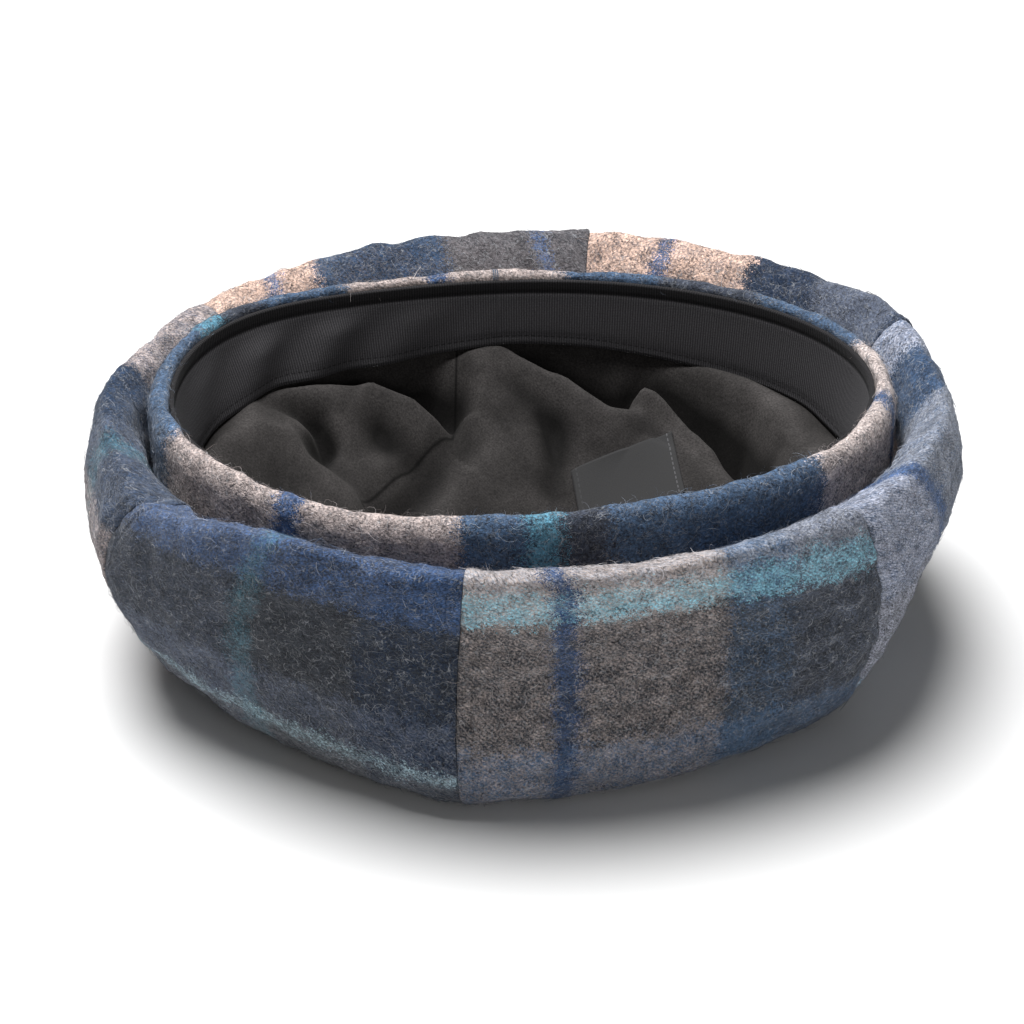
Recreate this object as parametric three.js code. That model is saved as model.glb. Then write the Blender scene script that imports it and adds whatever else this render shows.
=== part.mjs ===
// Peakless flat cap of plaid wool: six wedge panels, a folded headband, a sweatband, a lining and its label.
// Millimetres, +Z up. The cap lies upside down on its crown, with the head opening facing up.
// Angles are in degrees about +Z, from 0 at the shown side (-Y) towards +X.
import * as THREE from 'three';

const { clamp, degToRad, euclideanModulo, lerp, radToDeg, smoothstep } = THREE.MathUtils;

// Rows of a table with named columns
function table(columns, ...rows) {
  return rows.map((row) => Object.fromEntries(columns.map((column, i) => [column, row[i]])));
}

// Driving dimensions
const OPENING = { half_width: 103.5, half_depth: 76.5, centre_y: 0.7 };
const RIM_Z = 84;
const WOOL_WALL = 2.2;
const SEAM_GAP = 0.4;
const SEAT_GAP = 0.3;
const CROWN_SEAT_GAP = 0.5;
const HEADBAND = { thick: 6, bottom_z: 44 };
const SWEATBAND = { thick: 1.2, top_z: 82, bottom_z: 57, flare: 1.8, welt_height: 3.6, welt_proud: 0.5 };
const LINING = { thick: 1, centre_z: 8, shoulder_z: 48, edge_rise: 7, rises_from: 0.7, rises_to: 0.97 };
const LABEL = { width: 32, height: 22, thick: 0.8, gap: 0.7, x: 36, y: 31, turn: 3 };

// How finely the curved walls are faceted
const PANEL_STEPS = 9;
const RING_STEPS = 60;
const RIM_STEPS = 5;
const LABEL_STEPS = 8;

// Seams of the crown: each panel runs from its own seam to the next one. The seams swing backwards below the
// widest section, because the crown's tip lies behind the middle of the opening.
const SEAMS = table(
  ['panel', 'foot', 'side', 'widest', 'puff'],
  ['crown_panel_1', -84, -80, -69.5, -63],
  ['crown_panel_2', -16, -15, -12.3, -13],
  ['crown_panel_3', 57, 53, 42.3, 41],
  ['crown_panel_4', 112, 110, 106, 106],
  ['crown_panel_5', 168, 167, 166, 166],
  ['crown_panel_6', 225, 226, 228, 229],
);
// Rows of the table of sections where the seams have these angles, and how softly they bend there
const SEAM_STOPS = { foot: 2, side: 3, widest: 4, puff: 5 };
const SEAM_EASE = 0.3;
// The seams pull the cloth in beside them, most at the sides of the crown
const SEAM_PINCH = { depth: 1, spread: 5, starts: 1, full: 3, fades: 5.5, ends: 7 };

// Sections of the crown's outer face, from its tip on the floor, round the puffed edge, down to the headband.
// corner goes from round (0) to straight between the seams (1), and steps lead to the next section.
const BAND_OUT = OPENING.half_width + HEADBAND.thick;
const BAND_FRONT = OPENING.half_depth + HEADBAND.thick - OPENING.centre_y;
const BAND_BACK = OPENING.half_depth + HEADBAND.thick + OPENING.centre_y;
const VALLEY_GAP = 1.5;
const SECTIONS = table(
  ['at', 'half_width', 'front', 'back', 'z_front', 'z_back', 'corner', 'steps'],
  ['tip', 1.5, 1.5, 1.5, 0, 0, 0, 2],
  ['flat', 45, 45, 45, 0, 0, 0.4, 3],
  ['foot', 93.5, 93.5, 86, 0, 0, 0.4, 3],
  ['side', 112.5, 102.5, 106, 8.5, 13, 0.35, 4],
  ['widest', 133.5, 107, 124.5, 55.5, 46.5, 0.25, 4],
  ['puff', 124.5, 110.5, 107.5, 81, 86, 0.15, 3],
  ['lip', 114.5, 100.5, 95, 78.5, 77.5, 0, 3],
  ['valley', BAND_OUT + VALLEY_GAP, BAND_FRONT + VALLEY_GAP, BAND_BACK + VALLEY_GAP, 56, 56, 0, 1],
  ['seat', BAND_OUT + CROWN_SEAT_GAP, BAND_FRONT + CROWN_SEAT_GAP, BAND_BACK + CROWN_SEAT_GAP, 46, 46, 0, 0],
);
const LAST_SECTION = SECTIONS.length - 1;
// Mean radius of a straight hexagon side, as a share of its corner radius
const MEAN_CHORD = 0.955;

// Dents and swells of the soft crown: section is the row number above where each is deepest, reach is in rows
const DENTS = table(
  ['at', 'angle', 'spread', 'section', 'reach', 'inward', 'drop'],
  ['sag by the left seam', -62, 14, 5.4, 1, 2, 7],
  ['left front shoulder', -40, 14, 5.2, 1, 0, -3],
  ['hollow of the left front panel', -42, 20, 3.7, 0.8, 2.5, 0],
  ['hollow of the right front panel', 17, 20, 3.8, 0.8, 3, 0],
  ['sag at the right', 84, 12, 5.8, 0.8, 0, 4],
  ['swell by the right back seam', 122, 12, 4.9, 0.8, -3, -2],
  ['dip at the back left', 214, 14, 5, 0.9, 0, 2],
  ['hollow at the left back', 246, 10, 4.5, 0.9, 4, 2],
);

// Rows of the lining from its sewn edge to its centre: share of the opening's size, and lift above the bowl
const LINING_ROWS = table(
  ['share', 'lift'],
  [1, 1.5], [0.985, 0.5], [0.96, 0], [0.92, 0], [0.87, 0], [0.81, 0], [0.75, 0],
  [0.68, 0], [0.6, 0], [0.51, 0], [0.41, 0], [0.31, 0], [0.2, 0], [0.09, 0],
);
// Main folds of the lining: each runs from one point to another, and rises or sinks
const FOLDS = table(
  ['at', 'from', 'to', 'width', 'rise'],
  ['left hump', [-72, 46], [-38, 57], 12, 5],
  ['hollow behind the hump', [-44, 67], [-22, 66], 8, -11],
  ['near left roll', [-84, 25], [-56, 26], 11, 4],
  ['back bulge', [-4, 66], [12, 46], 16, 5],
  ['gap beside the bulge', [16, 72], [34, 63], 8, -13],
  ['label shelf', [42, 56], [54, 40], 10, 3],
  ['right valley', [54, 56], [72, 26], 7, -9],
  ['right roll', [56, 60], [82, 20], 10, 5],
  ['near left fold', [-60, -38], [-22, -16], 11, 5],
  ['near right fold', [24, -18], [62, -36], 11, 5],
);
// How late towards the sewn edge the folds die out
const FOLD_HOLD = 8;

// Colours and roughness of the cloths
const FINISHES = {
  plaid_wool: { color: 0x474c58, roughness: 0.95 },
  headband_wool: { color: 0x5a5350, roughness: 0.95 },
  rib_knit: { color: 0x1b1a1b, roughness: 0.9 },
  cotton_twill: { color: 0x1d1b1a, roughness: 0.85 },
  woven_label: { color: 0x18181a, roughness: 0.7 },
};

// Point on the oval that lies a distance outside the opening
function ovalPoint(angle, outside, z) {
  const a = degToRad(angle);
  const x = (OPENING.half_width + outside) * Math.sin(a);
  const y = OPENING.centre_y - (OPENING.half_depth + outside) * Math.cos(a);
  return new THREE.Vector3(x, y, z);
}

// Angle of a seam at a place along the crown, counted in sections
function seamAngle(seam, along) {
  const stops = Object.keys(SEAM_STOPS);
  let angle = seam[stops[0]];
  for (let i = 1; i < stops.length; i += 1) {
    const low = SEAM_STOPS[stops[i - 1]] - SEAM_EASE;
    const high = SEAM_STOPS[stops[i]] + SEAM_EASE;
    angle += (seam[stops[i]] - seam[stops[i - 1]]) * smoothstep(along, low, high);
  }
  return angle;
}

// Seam before an angle and the seam after it, in degrees, with the angle brought between them
function seamsAround(angle, along) {
  const seams = SEAMS.map((seam) => seamAngle(seam, along));
  const turned = euclideanModulo(angle - seams[0], 360) + seams[0];
  const before = seams.findLast((seam) => seam <= turned);
  const after = seams.find((seam) => seam > turned) ?? seams[0] + 360;
  return { turned, before, after };
}

// Radius of the straight line between two seams, against the mean radius
function chordFactor(angle, along) {
  const { turned, before, after } = seamsAround(angle, along);
  const half = degToRad((after - before) / 2);
  return Math.cos(half) / Math.cos(degToRad(turned) - degToRad(before) - half) / MEAN_CHORD;
}

// Point at an angle of the crown section in one row of the table
function sectionPoint(row, angle) {
  const section = SECTIONS[row];
  const a = degToRad(angle);
  const facing = Math.cos(a);
  const depth = facing > 0 ? section.front : section.back;
  const factor = lerp(1, chordFactor(angle, row), section.corner);
  const z = lerp(section.z_back, section.z_front, (1 + facing) / 2);
  return new THREE.Vector3(section.half_width * factor * Math.sin(a), -depth * factor * facing, z);
}

// Bell curve that is 1 at the middle
function bell(distance, spread) {
  return Math.exp(-((distance / spread) ** 2));
}

// Shortest turn between two angles
function turnBetween(a, b) {
  return euclideanModulo(a - b + 180, 360) - 180;
}

// Point of the crown's outer face: along counts sections from the tip
function crownPoint(angle, along) {
  const curve = new THREE.CatmullRomCurve3(SECTIONS.map((_, row) => sectionPoint(row, angle)));
  const point = curve.getPoint(along / LAST_SECTION);
  const radius = Math.hypot(point.x, point.y);
  const { turned, before, after } = seamsAround(angle, along);
  const seamDistance = degToRad(Math.min(turned - before, after - turned)) * radius;
  const begun = smoothstep(along, SEAM_PINCH.starts, SEAM_PINCH.full);
  const left = 1 - smoothstep(along, SEAM_PINCH.fades, SEAM_PINCH.ends);
  let inward = SEAM_PINCH.depth * bell(seamDistance, SEAM_PINCH.spread) * begun * left;
  for (const dent of DENTS) {
    const share = bell(turnBetween(angle, dent.angle), dent.spread) * bell(along - dent.section, dent.reach);
    inward += dent.inward * share;
    point.z -= dent.drop * share;
  }
  const outward = new THREE.Vector3(point.x, point.y, 0).normalize();
  point.addScaledVector(outward, -inward);
  point.z = Math.max(point.z, 0);
  return point;
}

// Outward direction of the crown's outer face
function crownNormal(angle, along) {
  const turn = 2;
  const step = 0.08;
  const across = crownPoint(angle + turn, along).sub(crownPoint(angle - turn, along));
  const further = crownPoint(angle, Math.min(along + step, LAST_SECTION));
  const nearer = crownPoint(angle, Math.max(along - step, 0));
  return across.cross(further.sub(nearer)).normalize();
}

// Triangles of a grid of points, stored row after row: rows run along, columns run across
function gridFaces(rows, columns, wraps) {
  const faces = [];
  for (let row = 0; row + 1 < rows; row += 1) {
    for (let column = 0; column < (wraps ? columns : columns - 1); column += 1) {
      const next = (column + 1) % columns;
      const a = row * columns + column;
      const b = row * columns + next;
      faces.push([a, b, b + columns], [a, b + columns, a + columns]);
    }
  }
  return faces;
}

// Geometry of indexed triangles
function meshGeometry(points, index) {
  const geometry = new THREE.BufferGeometry();
  geometry.setAttribute('position', new THREE.Float32BufferAttribute(points.flatMap((p) => p.toArray()), 3));
  geometry.setIndex(index);
  geometry.computeVertexNormals();
  return geometry;
}

// Closed wall between a face and the points behind it: open edges of the face are joined to the back
function wallGeometry(front, back, faces) {
  const behind = front.length;
  const index = [];
  const openEdges = new Map();
  for (const [a, b, c] of faces) {
    index.push(a, b, c, a + behind, c + behind, b + behind);
    for (const [from, to] of [[a, b], [b, c], [c, a]]) {
      if (!openEdges.delete(`${to} ${from}`)) openEdges.set(`${from} ${to}`, [from, to]);
    }
  }
  for (const [from, to] of openEdges.values()) {
    index.push(to, from, from + behind, to, from + behind, to + behind);
  }
  return meshGeometry([...front, ...back], index);
}

// Directions of the points of an open face
function faceNormals(points, faces) {
  const normals = meshGeometry(points, faces.flat()).getAttribute('normal');
  return points.map((_, i) => new THREE.Vector3().fromBufferAttribute(normals, i));
}

// Points moved along their directions
function movedAlong(points, normals, distance) {
  return points.map((point, i) => point.clone().addScaledVector(normals[i], distance));
}

// Places along the crown's sections where the panels have points
function sectionStops() {
  const stops = [];
  SECTIONS.forEach((section, row) => {
    for (let step = 0; step < section.steps; step += 1) stops.push(row + step / section.steps);
  });
  return [...stops, LAST_SECTION];
}

// One wedge panel of the crown, from its seam to the next one
function panelGeometry(number) {
  const stops = sectionStops();
  const front = [];
  const back = [];
  for (const along of stops) {
    const from = seamAngle(SEAMS[number], along);
    const turn = euclideanModulo(seamAngle(SEAMS[(number + 1) % SEAMS.length], along) - from, 360);
    const radius = Math.hypot(...crownPoint(from, along).toArray().slice(0, 2));
    const edge = radToDeg(SEAM_GAP / 2 / radius);
    for (let step = 0; step <= PANEL_STEPS; step += 1) {
      const angle = from + lerp(edge, turn - edge, step / PANEL_STEPS);
      const point = crownPoint(angle, along);
      front.push(point);
      back.push(point.clone().addScaledVector(crownNormal(angle, along), -WOOL_WALL));
    }
  }
  return wallGeometry(front, back, gridFaces(stops.length, PANEL_STEPS + 1, false));
}

// Ring with the same closed section all round: the section climbs its outer side first
function ringGeometry(section) {
  const points = [];
  for (const [outside, z] of [...section, section[0]]) {
    for (let step = 0; step < RING_STEPS; step += 1) {
      points.push(ovalPoint((360 * step) / RING_STEPS, outside, z));
    }
  }
  const count = section.length * RING_STEPS;
  const index = gridFaces(section.length + 1, RING_STEPS, true).flat().map((i) => i % count);
  return meshGeometry(points.slice(0, count), index);
}

// Headband folded double, with a round rim
function headbandGeometry() {
  const round = HEADBAND.thick / 2;
  const section = [[HEADBAND.thick, HEADBAND.bottom_z]];
  for (let step = 0; step <= RIM_STEPS; step += 1) {
    const turn = (Math.PI * step) / RIM_STEPS;
    section.push([round + round * Math.cos(turn), RIM_Z - round + round * Math.sin(turn)]);
  }
  section.push([0, HEADBAND.bottom_z]);
  return ringGeometry(section);
}

// Sweatband: a welt at the top, and a free lower edge that stands off the headband
function sweatbandGeometry() {
  const back = -SEAT_GAP;
  const low = back - SWEATBAND.flare;
  const weltFace = back - SWEATBAND.thick - SWEATBAND.welt_proud;
  const weltZ = SWEATBAND.top_z - SWEATBAND.welt_height;
  return ringGeometry([
    [low, SWEATBAND.bottom_z],
    [back, SWEATBAND.top_z],
    [weltFace, SWEATBAND.top_z],
    [weltFace, weltZ],
    [back - SWEATBAND.thick, weltZ - SWEATBAND.welt_proud],
    [low - SWEATBAND.thick, SWEATBAND.bottom_z],
  ]);
}

// Height of the lining's upper face
function liningHeight(x, y) {
  const fromCentre = new THREE.Vector2(x, y);
  const edge = OPENING.half_width - SEAT_GAP - LINING.thick;
  const edgeDepth = OPENING.half_depth - SEAT_GAP - LINING.thick;
  const share = Math.hypot(x / edge, (y - OPENING.centre_y) / edgeDepth);
  let z = lerp(LINING.centre_z, LINING.shoulder_z, smoothstep(share, 0, 1));
  z += LINING.edge_rise * smoothstep(share, LINING.rises_from, LINING.rises_to);
  const free = Math.max(0, 1 - share ** FOLD_HOLD);
  for (const fold of FOLDS) {
    const start = new THREE.Vector2(...fold.from);
    const run = new THREE.Vector2(...fold.to).sub(start);
    const reached = clamp(fromCentre.clone().sub(start).dot(run) / run.lengthSq(), 0, 1);
    const distance = start.addScaledVector(run, reached).distanceTo(fromCentre);
    z += fold.rise * bell(distance, fold.width) * free;
  }
  return z;
}

// Lining: a loose bowl of cloth that hangs from its sewn edge
function liningGeometry() {
  const points = [];
  for (const { share, lift } of LINING_ROWS) {
    for (let step = 0; step < RING_STEPS; step += 1) {
      const edge = ovalPoint((360 * step) / RING_STEPS, -SEAT_GAP - LINING.thick, 0);
      const x = edge.x * share;
      const y = lerp(OPENING.centre_y, edge.y, share);
      points.push(new THREE.Vector3(x, y, liningHeight(x, y) + lift));
    }
  }
  const faces = gridFaces(LINING_ROWS.length, RING_STEPS, true);
  const centre = points.length;
  const lastRow = centre - RING_STEPS;
  points.push(new THREE.Vector3(0, OPENING.centre_y, liningHeight(0, OPENING.centre_y)));
  for (let step = 0; step < RING_STEPS; step += 1) {
    faces.push([lastRow + step, lastRow + ((step + 1) % RING_STEPS), centre]);
  }
  return wallGeometry(points, movedAlong(points, faceNormals(points, faces), -LINING.thick), faces);
}

// Label: a small woven patch that follows the lining under it
function labelGeometry(lining) {
  const points = [];
  const down = new THREE.Vector3(0, 0, -1);
  const turn = degToRad(LABEL.turn);
  for (let row = 0; row <= LABEL_STEPS; row += 1) {
    for (let column = 0; column <= LABEL_STEPS; column += 1) {
      const across = LABEL.width * (column / LABEL_STEPS - 0.5);
      const up = LABEL.height * (row / LABEL_STEPS - 0.5);
      const x = LABEL.x + across * Math.cos(turn) - up * Math.sin(turn);
      const y = LABEL.y + across * Math.sin(turn) + up * Math.cos(turn);
      const sight = new THREE.Raycaster(new THREE.Vector3(x, y, RIM_Z), down);
      points.push(sight.intersectObject(lining)[0].point);
    }
  }
  const faces = gridFaces(LABEL_STEPS + 1, LABEL_STEPS + 1, false);
  const normals = faceNormals(points, faces);
  const bottom = movedAlong(points, normals, LABEL.gap);
  return wallGeometry(movedAlong(bottom, normals, LABEL.thick), bottom, faces);
}

// Named piece with its own material
function piece(name, geometry, finish) {
  const mesh = new THREE.Mesh(geometry, new THREE.MeshStandardMaterial({ ...finish, metalness: 0 }));
  mesh.name = name;
  return mesh;
}

const cap = new THREE.Group();
SEAMS.forEach(({ panel }, number) => cap.add(piece(panel, panelGeometry(number), FINISHES.plaid_wool)));
cap.add(piece('headband', headbandGeometry(), FINISHES.headband_wool));
cap.add(piece('sweatband', sweatbandGeometry(), FINISHES.rib_knit));
const lining = piece('lining', liningGeometry(), FINISHES.cotton_twill);
cap.add(lining);
cap.add(piece('label', labelGeometry(lining), FINISHES.woven_label));

// The origin is the middle of the footprint, on the floor
const bounds = new THREE.Box3().setFromObject(cap);
const middle = bounds.getCenter(new THREE.Vector3());
cap.position.set(-middle.x, -middle.y, -bounds.min.z);

export default cap;
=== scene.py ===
# Peakless flat cap of plaid wool, lying upside down on its crown: the looks of its cloths.
# Sizes are in millimetres and angles in degrees, as in the part; MM turns sizes to the frame's metres.
# Angles run about +Z from 0 at the shown side (-Y) towards +X.
import math

import bpy
import numpy as np
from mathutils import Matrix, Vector


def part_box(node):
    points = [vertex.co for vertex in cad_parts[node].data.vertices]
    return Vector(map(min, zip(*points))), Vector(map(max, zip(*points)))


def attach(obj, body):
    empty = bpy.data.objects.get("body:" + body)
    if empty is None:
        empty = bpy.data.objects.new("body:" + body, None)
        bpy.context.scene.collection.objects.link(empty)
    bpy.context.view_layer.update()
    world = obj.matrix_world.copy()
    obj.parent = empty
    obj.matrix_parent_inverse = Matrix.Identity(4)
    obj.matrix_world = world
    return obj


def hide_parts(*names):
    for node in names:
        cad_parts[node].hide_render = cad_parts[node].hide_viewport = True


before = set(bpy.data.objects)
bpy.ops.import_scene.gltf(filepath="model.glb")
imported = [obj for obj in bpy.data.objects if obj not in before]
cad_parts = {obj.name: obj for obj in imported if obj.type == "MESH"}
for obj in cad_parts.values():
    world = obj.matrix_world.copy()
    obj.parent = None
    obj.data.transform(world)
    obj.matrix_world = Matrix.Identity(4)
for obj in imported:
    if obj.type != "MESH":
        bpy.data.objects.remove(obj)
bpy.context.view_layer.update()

MM = 0.001
BODY = "root"
# Distance that stands for no seam near
FAR = 20.0


class Values:
    """Named values."""

    def __init__(self, **values):
        for name, value in values.items():
            setattr(self, name, value)


def table(columns, *rows):
    """Rows of a table with named columns."""
    names = columns.split()
    return [dict(zip(names, row)) for row in rows]


# Sizes of the cloths
OPENING = Values(half_width=103.5, half_depth=76.5, centre_y=0.7)
RIM_Z = 84
WOOL_WALL = 2.2
SEAM_GAP = 0.12
SEAT_GAP = 0.3
CROWN_SEAT_GAP = 0.5
HEADBAND = Values(thick=6, bottom_z=44, roll_width=4, roll_height=7)
# The soft rim sags at the front left, and stands up and leans out at the left back
RIM_SHIFTS = table("angle spread drop outward", (330, 22, 3.6, 0), (233, 27, -3, 3.5))
SHIFTS_FROM_Z = 56
SWEATBAND = Values(
    thick=1.2, top_z=82, flare=1.8, welt_height=3.6, welt_proud=0.12, welt_round=0.6,
    groove=0.08, groove_step=0.5,
)
LINING = Values(thick=1, centre_z=8, shoulder_z=48, under_edge=1.5, rises_from=0.7, rises_to=0.97)
# Heights of the lining's hem, first and last ring of its bowl as shares of the way out, crowding at the front
LINING_HEM = (4, 2.5, 1)
LINING_SHARES = (0.99, 0.0005)
LINING_CROWDING = 0.4
LABEL = Values(width=32, height=22, thick=0.6, gap=0.3, x=36, y=31, turn=3)
# Height of the sweatband's free edge round the opening
SWEATBAND_EDGE = table(
    "angle z",
    (0, 55), (80, 51.5), (106, 52), (114, 55), (144, 57.2), (163, 60), (178, 61.2), (192, 59.4),
    (203, 58.4), (222, 60.1), (234, 60), (246, 57.3), (254, 55), (360, 55),
)
EDGE_EASE = 3

# Place in the frame of the tables' origin, under the middle of the opening
band_low, band_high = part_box("headband")
ORIGIN = np.array([(band_low.x + band_high.x) / 2, (band_low.y + band_high.y) / 2, 0])
ORIGIN[1] -= OPENING.centre_y * MM

# Seams of the crown, as angles: each panel runs from its own seam to the next one
SEAMS = table(
    "panel foot side widest puff",
    ("crown_panel_1", -84, -80, -69.5, -63),
    ("crown_panel_2", -16, -15, -12.3, -13),
    ("crown_panel_3", 57, 53, 42.3, 41),
    ("crown_panel_4", 112, 110, 106, 106),
    ("crown_panel_5", 168, 167, 165.2, 164.8),
    ("crown_panel_6", 225, 226, 228, 229),
)
# Sections where the seams have these angles, and how softly they bend there
SEAM_STOPS = {"foot": 2, "side": 3, "widest": 4, "puff": 5}
SEAM_EASE = 0.3
# The seams pull the cloth in beside them between these sections
SEAM_PINCH = Values(depth=1, spread=5, starts=1, full=3, fades=5.5, ends=7)

# Sections of the crown, from its tip on the floor, round the puffed edge, down to the headband.
# corner goes from round (0) to straight between the seams (1).
BAND_OUT = OPENING.half_width + HEADBAND.thick
BAND_FRONT = OPENING.half_depth + HEADBAND.thick - OPENING.centre_y
BAND_BACK = OPENING.half_depth + HEADBAND.thick + OPENING.centre_y
VALLEY_GAP = 1.5
VALLEY = (BAND_OUT + VALLEY_GAP, BAND_FRONT + VALLEY_GAP, BAND_BACK + VALLEY_GAP)
SEAT = (BAND_OUT + CROWN_SEAT_GAP, BAND_FRONT + CROWN_SEAT_GAP, BAND_BACK + CROWN_SEAT_GAP)
SECTIONS = table(
    "half_width front back z_front z_back corner",
    (1.5, 1.5, 1.5, 0, 0, 0),
    (45, 45, 45, 0, 0, 0.4),
    (93.5, 93.5, 86, 0, 0, 0.4),
    (112.5, 102.5, 106, 8.5, 13, 0.35),
    (133.5, 107, 124.5, 55.5, 46.5, 0.25),
    (124.5, 110.5, 107.5, 81, 86, 0.15),
    (114.5, 100.5, 95, 78.5, 77.5, 0),
    (*VALLEY, 56, 56, 0),
    (*SEAT, 46, 46, 0),
)
LAST_SECTION = len(SECTIONS) - 1
# Mean radius of a straight hexagon side, as a share of its corner radius
MEAN_CHORD = 0.955
# Dents and swells of the soft crown. section is the row above where each is deepest, and reach is in rows.
DENTS = table(
    "angle spread section reach inward drop",
    (-62, 14, 5.4, 1, 2, 7),  # sag by the left seam
    (-40, 14, 5.2, 1, 0, -3),  # left front shoulder
    (-42, 20, 3.7, 0.8, 2.5, 0),  # hollow of the left front panel
    (17, 20, 3.8, 0.8, 3, 0),  # hollow of the right front panel
    (84, 12, 5.8, 0.8, 0, 4),  # sag at the right
    (214, 14, 5, 0.9, 0, 2),  # dip at the back left
    (246, 10, 4.5, 0.9, 4, 2),  # hollow at the left back
    (67, 13, 3.2, 0.7, 6, 0),  # flat behind the right seam
    (230, 10, 5, 0.9, 0, 2.8),  # dip at the left back seam
    (112, 12, 4.9, 0.8, -1, -1),  # swell at the right back seam
    (94, 9, 5, 0.9, 1.6, 0.6),  # hollow before the right back seam
    (280, 12, 4, 0.7, 2.2, 0),  # flat at the left
)

# Dyes of the wool, as linear colours
DYES = {
    "beige": (0.48, 0.40, 0.375),
    # The next dye is beige made lighter: painted light on the headband's right front
    "beige_painted_light": (0.60, 0.51, 0.48),
    "sand": (0.365, 0.308, 0.285),
    "peach": (0.68, 0.475, 0.38),
    "cloud": (0.45, 0.47, 0.56),
    "mist": (0.30, 0.315, 0.36),
    "stone": (0.118, 0.108, 0.114),
    "iron": (0.16, 0.17, 0.19),
    "lead": (0.09, 0.107, 0.15),
    "slate": (0.062, 0.075, 0.106),
    "charcoal": (0.028, 0.032, 0.04),
    "storm": (0.05, 0.06, 0.085),
    "ink": (0.008, 0.021, 0.05),
    "navy": (0.036, 0.072, 0.14),
    "royal": (0.065, 0.115, 0.2),
    "marine": (0.025, 0.05, 0.10),
    "denim": (0.055, 0.106, 0.235),
    "dusk": (0.06, 0.105, 0.18),
    "blue": (0.032, 0.064, 0.148),
    "sea": (0.065, 0.15, 0.195),
    "teal": (0.11, 0.29, 0.40),
    "aqua": (0.23, 0.51, 0.63),
    "lagoon": (0.42, 0.57, 0.63),
}
# Plaid of each piece of wool: stripes across it and up it, each with the place where it ends. lean moves
# upright stripes sideways with height, and tilt lifts level ones with width. level is the share of the level
# threads, and top is that share above the puffed edge. bold is an upright stripe over the level threads.
PLAID = {
    "crown_panel_1": {
        "across": [("slate", -5), ("sea", 1.5), ("charcoal", 34), ("ink", 80)],
        "up": [
            ("charcoal", 60), ("iron", 111.5), ("lagoon", 116.5), ("lead", 134), ("charcoal", 168),
            ("denim", 240),
        ],
        "lean": -0.05, "tilt": 0.09, "level": 0.5, "top": 0.5,
    },
    "crown_panel_2": {
        "across": [("sand", -37), ("blue", -30), ("sand", 12), ("royal", 33), ("lead", 90)],
        "up": [("charcoal", 60), ("dusk", 114), ("charcoal", 158.5), ("aqua", 170), ("mist", 240)],
        "lean": -0.03, "tilt": 0.02, "level": 0.7, "top": 0.36, "bold": (-37, -30),
    },
    "crown_panel_3": {
        "across": [("cloud", -29.5), ("denim", -22.5), ("mist", 30), ("marine", 56), ("cloud", 100)],
        "up": [
            ("beige", 70), ("charcoal", 108), ("teal", 114), ("charcoal", 150), ("navy", 214), ("peach", 240),
        ],
        "lean": 0.5, "tilt": 0, "level": 0.5, "top": 0.45, "bold": (-29.5, -22.5),
    },
    "crown_panel_4": {
        "across": [
            ("ink", -52), ("lead", -20), ("ink", 4.5), ("peach", 31.5), ("denim", 35.5), ("peach", 90),
        ],
        "up": [("navy", 90), ("charcoal", 128), ("teal", 136), ("navy", 172), ("storm", 240)],
        "lean": 0, "tilt": 0, "level": 0.25, "top": 0.25,
    },
    "crown_panel_5": {
        "across": [
            ("stone", -52.6), ("denim", -50.2), ("stone", -20), ("navy", -10), ("marine", 15), ("navy", 24),
            ("peach", 38), ("denim", 42), ("peach", 90),
        ],
        "up": [
            ("beige", 80), ("teal", 88), ("charcoal", 140), ("navy", 165), ("charcoal", 190), ("stone", 240),
        ],
        "lean": 0, "tilt": 0.1, "level": 0.25, "top": 0.25,
    },
    "crown_panel_6": {
        "across": [("beige", -14), ("ink", 20), ("slate", 30), ("sea", 38), ("slate", 90)],
        "up": [("charcoal", 60), ("beige", 109), ("blue", 117), ("beige", 173), ("marine", 240)],
        "lean": 0, "tilt": 0, "level": 0.7, "top": 0.35,
    },
    "headband": {
        "across": [
            ("beige", -279), ("denim", -271), ("beige", -246), ("royal", -215), ("storm", -200), ("teal", -191),
            ("royal", -124), ("beige", -79.5), ("denim", -73), ("beige", -27), ("royal", -10), ("teal", -1),
            # The lighter beige stripes on the right front are painted light
            ("storm", 14), ("royal", 78), ("beige_painted_light", 119), ("denim", 126), ("beige_painted_light", 162), ("royal", 205),
            ("storm", 240), ("royal", 272), ("beige", 300),
        ],
        "up": [("charcoal", 100)],
        "lean": 0, "tilt": 0, "level": 0.15, "top": 0.15,
    },
}
# Places up a panel: where leaning stripes are at their own places, and where level gives way to top
LEAN_FROM = 170
TOP_FROM = 151
TOP_TO = 172
# What a bold stripe takes off the share of the level threads, and half the width of its soft edges
BOLD = Values(share=0.4, soft=1)

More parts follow.
